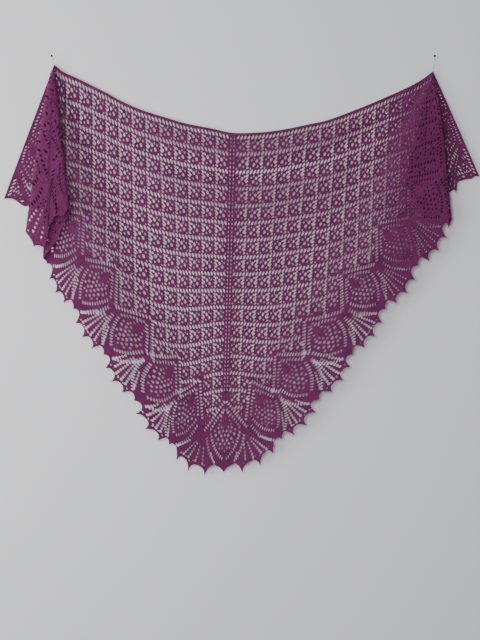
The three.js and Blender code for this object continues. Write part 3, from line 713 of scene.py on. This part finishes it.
    def draw_fan(self, k):
        """The blades and eyelet lines that fan from a join of two leaves to the hem."""
        ends = self.ends + [TIP_END]
        start, end = (np.array(place) for place in ends[k : k + 2])
        size = math.hypot(*(end - start))
        out = np.array([-(end[1] - start[1]), end[0] - start[0]]) / size
        last = k == len(ends) - 2
        join = np.array(chart_point(self.ends, k, *FAN_JOIN))
        if k == 0:
            join = np.array([self.tops[1][0] + CENTRE_JOIN[0], CENTRE_JOIN[1]])
        bulge = CENTRE_BULGE[self.side] if k == 0 else 0.0
        for share, kind in FAN_LINES:
            if last and share > 0.5:
                continue
            along = share * (2 if last else 1)
            if k == 0:
                along = np.interp(share, *CENTRE_SPIKES[::-1])
            reach = self.scallop * np.interp(share, SCALLOPS[:, 0], SCALLOPS[:, 1])
            reach = (reach + bulge * math.sin(math.pi * share)) / BLOCK
            foot = start + (end - start) * along + out * reach
            run = foot - join
            length = math.hypot(*run) * BLOCK
            if kind == "blade":
                line = [tuple(join + run * BLADE[key]) for key in ("from", "to")]
                self.raise_line(line, BLADE["width"], BLADE["height"])
                continue
            lean = math.degrees(math.atan2(-run[0], run[1]))
            first = FAN_START[kind]
            count = int((length - first - FAN_GAP["short_of_hem"]) / FAN_PITCH)
            for n in range(count + 1):
                s = first + n * FAN_PITCH
                at = join + run * s / length
                grown = FAN_GAP["half"] + FAN_GAP["growth"] * s / length
                self.cut(at[0], at[1], grown, grown * FAN_GAP["tall"], lean)
            for hand, slip in HEM_GAPS:
                if kind == "near":
                    at = foot - run / length * slip + np.array([-run[1], run[0]]) / length * hand
                    self.cut(at[0], at[1], *HEM_GAP["half"], lean + HEM_GAP["lean"] * np.sign(hand))


# Fine cloth from a chart.


def cloth_faces(chart, keep):
    """The grid's corners in the flat cloth, eased on to gap rims and the hem, and kept faces."""
    gap, hem = chart.gap, chart.hem
    solid = chart.joined()
    inside = solid & keep(corner_mean(chart.column), corner_mean(chart.row))
    column, row = chart.column.copy(), chart.row.copy()
    lost = np.zeros(np.array(gap.shape) + 1, dtype=bool)
    lost[1:-1, 1:-1] = ~solid
    touched = lost[1:, 1:] | lost[:-1, 1:] | lost[1:, :-1] | lost[:-1, :-1]
    step = chart.u[1] - chart.u[0]
    rim = touched & (gap < RIM["to"]) & (gap > RIM["from"])
    for field, centre in ((column, chart.centre[0]), (row, chart.centre[1])):
        moved = (field - centre) * (1 / gap - 1)
        most = RIM["step"] * step
        field += np.where(rim, np.clip(moved, -most, most), 0)
    at_hem = touched & (np.abs(hem) < RIM["hem"])
    for field, out in ((column, chart.hem_out[0]), (row, chart.hem_out[1])):
        field -= np.where(at_hem, np.clip(hem / BLOCK, -step, step) * out, 0)
    return column, row, inside


def corner_mean(field):
    return (field[1:, 1:] + field[:-1, 1:] + field[1:, :-1] + field[:-1, :-1]) / 4


def build_cloth(name, chart, keep, place, edge=None):
    """A thin sheet of cloth from the kept faces of a chart, placed where it hangs."""
    column, row, inside = cloth_faces(chart, keep)
    if edge is not None:
        column = edge(column, row, chart.u[1] - chart.u[0])
    across, down = chart.cells
    bm = bmesh.new()
    bmesh.ops.create_grid(bm, x_segments=across, y_segments=down, size=1.0)
    flat = bm.verts.layers.float_vector.new("flat")
    density = bm.verts.layers.float.new("density")
    places = []
    for vert in bm.verts:
        i = round((vert.co.x + 1) / 2 * across)
        j = round((vert.co.y + 1) / 2 * down)
        places.append((j, i))
    index = np.array(places)
    j, i = index[:, 0], index[:, 1]
    gone = []
    for face in bm.faces:
        low_j = min(places[v.index][0] for v in face.verts)
        low_i = min(places[v.index][1] for v in face.verts)
        if not inside[low_j, low_i]:
            gone.append(face)
    u, v = column[j, i], row[j, i]
    hung = place(u, v)
    ridge = chart.ridge[j, i]
    # Painted shade darkens the yarn where the cloth lies in layers and round each gap; the cords
    # darken it where the stitches crowd.
    layer_shade = 1 - np.interp(u, *chart.size_by_column)
    gap_rim_shade = np.exp(-(((chart.gap[j, i] - 1.0) / RIM_SHADE["width"]) ** 2))
    crowded_and_shaded = layer_shade + np.maximum(ridge, RIM_SHADE["share"] * gap_rim_shade)
    for n, vert in enumerate(bm.verts):
        vert.co = hung[n]
        vert[flat] = (u[n] * BLOCK / METRE, v[n] * BLOCK / METRE, 0)
        vert[density] = crowded_and_shaded[n]
    bmesh.ops.delete(bm, geom=gone, context="FACES")
    bm.normal_update()
    turned = sum(vert.normal.y for vert in bm.verts) > 0
    if turned:
        bmesh.ops.reverse_faces(bm, faces=bm.faces[:])
        bm.normal_update()
    normals = [vert.normal.copy() for vert in bm.verts]
    for n, (vert, normal) in enumerate(zip(bm.verts, normals)):
        vert.co += normal * float(ridge[n]) * RAISED
    mesh = bpy.data.meshes.new(name)
    bm.to_mesh(mesh)
    bm.free()
    mesh.shade_smooth()
    piece = bpy.data.objects.new(name, mesh)
    bpy.context.scene.collection.objects.link(piece)
    return piece


def finish_cloth(piece, nodes, chart, keep):
    flat, area = flat_cut(chart, keep)
    solidify = piece.modifiers.new("cloth", "SOLIDIFY")
    solidify.thickness = bpy.context.scene.shawl.thickness
    solidify.offset = 0
    piece.data.materials.append(yarn_material())
    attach(piece, "root")
    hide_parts(*nodes)


def flat_cut(chart, keep):
    """Sides of the flat cut's smaller box, straight or slanting, and the area of the knitting."""
    column, row = corner_mean(chart.column), corner_mean(chart.row)
    cut = (corner_mean(chart.hem) <= 0) & keep(column, row)
    column, row = column[cut] * BLOCK / METRE, row[cut] * BLOCK / METRE
    straight = (np.ptp(column), np.ptp(row))
    slanting = (np.ptp(column - row) / math.sqrt(2), np.ptp(column + row) / math.sqrt(2))
    sides = min(straight, slanting, key=math.prod)
    cell = (chart.u[1] - chart.u[0]) * (chart.v[1] - chart.v[0]) * (BLOCK / METRE) ** 2
    knitted = (cut & chart.joined()).sum()
    return tuple(float(side) for side in sides), float(knitted * cell)


CHARTS = {}


def cell_size():
    return bpy.context.scene.shawl.cell * METRE


def main_chart(side):
    """The panel's chart on one side, drawn once for each size of cell."""
    key = (side, cell_size())
    if key not in CHARTS:
        CHARTS[key] = Chart(side, *PANEL_SPAN, cell_size(), PANEL_GAPS[side])
    return CHARTS[key]


def rib_column(side, row):
    rib = outer_rib(side)
    return lerp(abs(rib[1]), abs(rib[2]), row / (HEM_LINE - abs(rib[2])))


def rib_edge(side):
    """Moves the corners nearest the outer rib on to it, where panel and wing meet."""

    def edge(column, row, step):
        past = column - rib_column(side, row)
        return np.where(np.abs(past) < 0.5 * step, column - past, column)

    return edge


def zone_keep(chart, zone, rows):
    def keep(column, row):
        inside = (chart.zone(column, row) == zone) & (row >= rows[0]) & (row < rows[1])
        return inside & (column < rib_column(chart.side, row))

    return keep


def build_zone(name, side, zone, nodes, rows=(0, LAST_ROW)):
    chart = main_chart(side)
    keep = zone_keep(chart, zone, rows)
    place = lambda column, row: main_point(side * column, row)
    piece = build_cloth(name, chart, keep, place, rib_edge(side))
    finish_cloth(piece, nodes, chart, keep)


# Materials.


def new_material(name):
    material = bpy.data.materials.new(name)
    material.use_nodes = True
    nodes, links = material.node_tree.nodes, material.node_tree.links
    return material, nodes, links, nodes["Principled BSDF"]


def math_node(nodes, links, operation, first, second=None):
    node = nodes.new("ShaderNodeMath")
    node.operation = operation
    for socket, value in zip(node.inputs, (first, second)):
        if value is None:
            continue
        if isinstance(value, (int, float)):
            socket.default_value = value
        else:
            links.new(value, socket)
    return node.outputs[0]


def yarn_material():
    """Knitted wool: rows of small V stitches, darker where the stitches crowd along cords, with
    painted shade where the cloth lies in layers, round gaps and in the grooves between stitches.
    """
    existing = bpy.data.materials.get("Yarn")
    if existing:
        return existing
    props = bpy.context.scene.shawl
    material, nodes, links, shader = new_material("Yarn")
    flat = nodes.new("ShaderNodeAttribute")
    flat.attribute_name = "flat"
    split = nodes.new("ShaderNodeSeparateXYZ")
    links.new(flat.outputs["Vector"], split.inputs[0])
    density = nodes.new("ShaderNodeAttribute")
    density.attribute_name = "density"
    make = lambda operation, a, b=None: math_node(nodes, links, operation, a, b)
    across = make("PINGPONG", make("MULTIPLY", split.outputs[0], 1 / STITCH_WIDTH), 1.0)
    rows = make("MULTIPLY", split.outputs[1], 1 / STITCH_HEIGHT)
    slanted = make("ADD", rows, make("MULTIPLY", across, 0.7))
    chevron = make("SINE", make("MULTIPLY", slanted, math.tau))
    groove = make("ABSOLUTE", make("SUBTRACT", across, 0.5))
    height = make("ADD", make("MULTIPLY", chevron, 0.5), make("MULTIPLY", groove, -1.2))
    speck = nodes.new("ShaderNodeTexVoronoi")
    links.new(flat.outputs["Vector"], speck.inputs["Vector"])
    speck.inputs["Scale"].default_value = 270
    fuzz = nodes.new("ShaderNodeTexNoise")
    links.new(flat.outputs["Vector"], fuzz.inputs["Vector"])
    fuzz.inputs["Scale"].default_value = 420
    fuzz.inputs["Detail"].default_value = 3
    total = make("ADD", height, make("MULTIPLY", fuzz.outputs["Fac"], 1.1))
    bump = nodes.new("ShaderNodeBump")
    bump.inputs["Strength"].default_value = 0.75
    bump.inputs["Distance"].default_value = 0.0007
    links.new(total, bump.inputs["Height"])
    links.new(bump.outputs[0], shader.inputs["Normal"])
    mottle = nodes.new("ShaderNodeTexNoise")
    links.new(flat.outputs["Vector"], mottle.inputs["Vector"])
    mottle.inputs["Scale"].default_value = 26
    mottle.inputs["Detail"].default_value = 4
    # painted shade where the cloth lies in layers and round gaps, crowded stitches, random mottle
    # and flecks: how far the yarn goes to its dark colour
    shade = make("ADD", make("MULTIPLY", density.outputs["Fac"], 0.95),
                 make("MULTIPLY", make("SUBTRACT", mottle.outputs["Fac"], 0.5), 0.7))
    flecks = make("SUBTRACT", speck.outputs["Distance"], 0.35)
    shade = make("ADD", shade, make("MULTIPLY", flecks, 0.8))
    # painted shade: the yarn is darker in the grooves between the stitches
    grain = make("ADD", shade, make("MULTIPLY", make("SUBTRACT", 0.5, height), 0.16))
    mix = nodes.new("ShaderNodeMix")
    mix.data_type = "RGBA"
    mix.clamp_factor = True
    links.new(grain, mix.inputs["Factor"])
    mix.inputs[6].default_value = (*props.yarn, 1)
    mix.inputs[7].default_value = (*props.yarn_dark, 1)
    links.new(mix.outputs[2], shader.inputs["Base Color"])
    shader.inputs["Roughness"].default_value = 0.78
    shader.inputs["Sheen Weight"].default_value = 0.12
    shader.inputs["Sheen Roughness"].default_value = 0.45
    shader.inputs["Sheen Tint"].default_value = (0.85, 0.45, 0.75, 1)
    shader.inputs["Specular IOR Level"].default_value = 0.3
    return material


def pin_material(name, colour, metallic, roughness):
    material, _, _, shader = new_material(name)
    shader.inputs["Base Color"].default_value = (*colour, 1)
    shader.inputs["Metallic"].default_value = metallic
    shader.inputs["Roughness"].default_value = roughness
    return material


def wall_material():
    """Pale matt paint, seen through from behind so that the back of the shawl shows."""
    material, nodes, links, shader = new_material("Wall")
    shader.inputs["Base Color"].default_value = (*bpy.context.scene.shawl.wall, 1)
    shader.inputs["Roughness"].default_value = 0.9
    grain = nodes.new("ShaderNodeTexNoise")
    place = nodes.new("ShaderNodeTexCoord")
    links.new(place.outputs["Object"], grain.inputs["Vector"])
    grain.inputs["Scale"].default_value = 130
    bump = nodes.new("ShaderNodeBump")
    bump.inputs["Strength"].default_value = 0.05
    bump.inputs["Distance"].default_value = 0.001
    links.new(grain.outputs["Fac"], bump.inputs["Height"])
    links.new(bump.outputs[0], shader.inputs["Normal"])
    side = nodes.new("ShaderNodeNewGeometry")
    clear = nodes.new("ShaderNodeBsdfTransparent")
    mix = nodes.new("ShaderNodeMixShader")
    links.new(side.outputs["Backfacing"], mix.inputs[0])
    links.new(shader.outputs[0], mix.inputs[1])
    links.new(clear.outputs[0], mix.inputs[2])
    links.new(mix.outputs[0], nodes["Material Output"].inputs["Surface"])
    return material


# The add-on.


class ShawlProperties(bpy.types.PropertyGroup):
    cell: FloatProperty(
        name="Cloth cell", description="Grid size of the fine cloth",
        default=0.002, min=0.0018, max=0.006, unit="LENGTH",
    )
    thickness: FloatProperty(
        name="Thickness", description="Thickness of the knitted cloth",
        default=0.001, min=0.0005, max=0.003, unit="LENGTH",
    )
    yarn: FloatVectorProperty(
        name="Yarn", description="Colour of the yarn",
        subtype="COLOR", default=(0.17, 0.014, 0.104),
    )
    # the dark yarn colour, for crowded stitches and for painted shade
    yarn_dark: FloatVectorProperty(
        name="Yarn in dense cloth", description="Colour where the stitches crowd",
        subtype="COLOR", default=(0.018, 0.0008, 0.011),
    )
    wall: FloatVectorProperty(
        name="Wall", description="Colour of the wall",
        subtype="COLOR", default=(0.74, 0.74, 0.755),
    )


class SHAWL_OT_ground(bpy.types.Operator):
    """Knit the lattice of lace blocks on both sides of the spine"""

    bl_idname = "shawl.ground"
    bl_label = "Lace ground"

    def execute(self, context):
        left, right = ["ground_left", "spine", "top_band"], ["ground_right", "spine", "top_band"]
        build_zone("shawl_ground_left_upper", -1, LATTICE, left, (0, HALF_ROW))
        build_zone("shawl_ground_left_lower", -1, LATTICE, left, (HALF_ROW, LAST_ROW))
        build_zone("shawl_ground_right_upper", 1, LATTICE, right, (0, HALF_ROW))
        build_zone("shawl_ground_right_lower", 1, LATTICE, right, (HALF_ROW, LAST_ROW))
        return {"FINISHED"}


class SHAWL_OT_border(bpy.types.Operator):
    """Knit the leaf border with its scalloped hem"""

    bl_idname = "shawl.border"
    bl_label = "Leaf border"

    def execute(self, context):
        build_zone("shawl_border_left", -1, BORDER, ["border_left"])
        build_zone("shawl_border_right", 1, BORDER, ["border_right"])
        build_zone("shawl_centre_left", -1, CENTRE, ["border_centre"])
        build_zone("shawl_centre_right", 1, CENTRE, ["border_centre"])
        return {"FINISHED"}


class SHAWL_OT_wings(bpy.types.Operator):
    """Knit the two ends and fold them outside the pins"""

    bl_idname = "shawl.wings"
    bl_label = "Folded ends"

    def execute(self, context):
        build_wing(-1, "left")
        build_wing(1, "right")
        return {"FINISHED"}


def build_wing(side, name):
    columns = (abs(outer_rib(side)[1]), WING_SPAN["last_column"])
    rows = (0, WING_SPAN["last_row"])
    chart = Chart(side, columns, rows, cell_size(), WING_GAPS, WING_SCALLOP[side])
    keep = lambda column, row: column > rib_column(side, row)
    place = lambda column, row: wing_point(side, column, row)
    piece = build_cloth("shawl_wing_" + name, chart, keep, place, rib_edge(side))
    nodes = ["wing_" + name, "wing_" + name + "_band", "gather_" + name]
    finish_cloth(piece, nodes, chart, keep)


class SHAWL_OT_pins(bpy.types.Operator):
    """Give the two pins their steel and glazed heads"""

    bl_idname = "shawl.pins"
    bl_label = "Pins"

    def execute(self, context):
        steel = pin_material("Pin steel", (0.55, 0.55, 0.57), 1.0, 0.28)
        ball = pin_material("Pin ball", (0.008, 0.008, 0.009), 0.0, 0.18)
        for name in ("left", "right"):
            bpy.data.objects["pin_shaft_" + name].material_slots[0].material = steel
            bpy.data.objects["pin_head_" + name].material_slots[0].material = ball
        return {"FINISHED"}


class SHAWL_OT_stage(bpy.types.Operator):
    """Set the wall, the light and the camera"""

    bl_idname = "shawl.stage"
    bl_label = "Stage"

    def execute(self, context):
        wall = stage_sheet("wall", WALL["size"], (math.pi / 2, 0, 0), WALL["at"])
        wall.data.materials.append(wall_material())
        wall.visible_shadow = False
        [area_light(name, *row) for name, row in LIGHTS.items()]
        world = bpy.data.worlds.new("Soft")
        context.scene.world = world
        world.use_nodes = True
        background = world.node_tree.nodes["Background"]
        background.inputs["Color"].default_value = WORLD["colour"]
        background.inputs["Strength"].default_value = WORLD["strength"]
        add_camera(context.scene)
        return {"FINISHED"}


def stage_sheet(name, size, turn, at):
    bm = bmesh.new()
    bmesh.ops.create_grid(bm, x_segments=1, y_segments=1, size=size / 2)
    mesh = bpy.data.meshes.new(name)
    bm.to_mesh(mesh)
    bm.free()
    sheet = bpy.data.objects.new(name, mesh)
    sheet.rotation_euler = turn
    sheet.location = at
    bpy.context.scene.collection.objects.link(sheet)
    return sheet


def area_light(name, size, at, towards, power):
    light = bpy.data.lights.new(name, "AREA")
    light.size = size
    light.energy = power
    lamp = bpy.data.objects.new(name, light)
    lamp.location = at
    way = [b - a for a, b in zip(at, towards)]
    level = math.hypot(way[0], way[1])
    tip = math.pi / 2 + math.atan2(way[2], level)
    lamp.rotation_euler = (tip, 0, math.atan2(-way[0], way[1]))
    bpy.context.scene.collection.objects.link(lamp)
    return lamp


def add_camera(scene):
    camera = bpy.data.cameras.new("camera")
    camera.lens = SENSOR * VIEW["distance"] / VIEW["height"]
    camera.dof.use_dof = False
    eye = bpy.data.objects.new("camera", camera)
    eye.location = (VIEW["x"], -VIEW["distance"], VIEW["z"])
    eye.rotation_euler = (math.pi / 2, 0, 0)
    scene.collection.objects.link(eye)
    scene.camera = eye


class SHAWL_PT_panel(bpy.types.Panel):
    """The shawl's sizes, colours and steps"""

    bl_idname = "SHAWL_PT_panel"
    bl_label = "Lace Shawl"
    bl_space_type = "VIEW_3D"
    bl_region_type = "UI"
    bl_category = "Shawl"

    def draw(self, context):
        props = context.scene.shawl
        for name in ("cell", "thickness", "yarn", "yarn_dark", "wall"):
            self.layout.prop(props, name)
        for operator in OPERATORS:
            self.layout.operator(operator.bl_idname)


OPERATORS = (SHAWL_OT_ground, SHAWL_OT_border, SHAWL_OT_wings, SHAWL_OT_pins, SHAWL_OT_stage)
CLASSES = (ShawlProperties, *OPERATORS, SHAWL_PT_panel)


def register():
    for cls in CLASSES:
        bpy.utils.register_class(cls)
    bpy.types.Scene.shawl = PointerProperty(type=ShawlProperties)


def unregister():
    del bpy.types.Scene.shawl
    for cls in reversed(CLASSES):
        bpy.utils.unregister_class(cls)


def main():
    register()
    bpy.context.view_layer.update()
    bpy.ops.shawl.ground()
    bpy.ops.shawl.border()
    bpy.ops.shawl.wings()
    bpy.ops.shawl.pins()
    bpy.ops.shawl.stage()


if __name__ == "__main__":
    main()
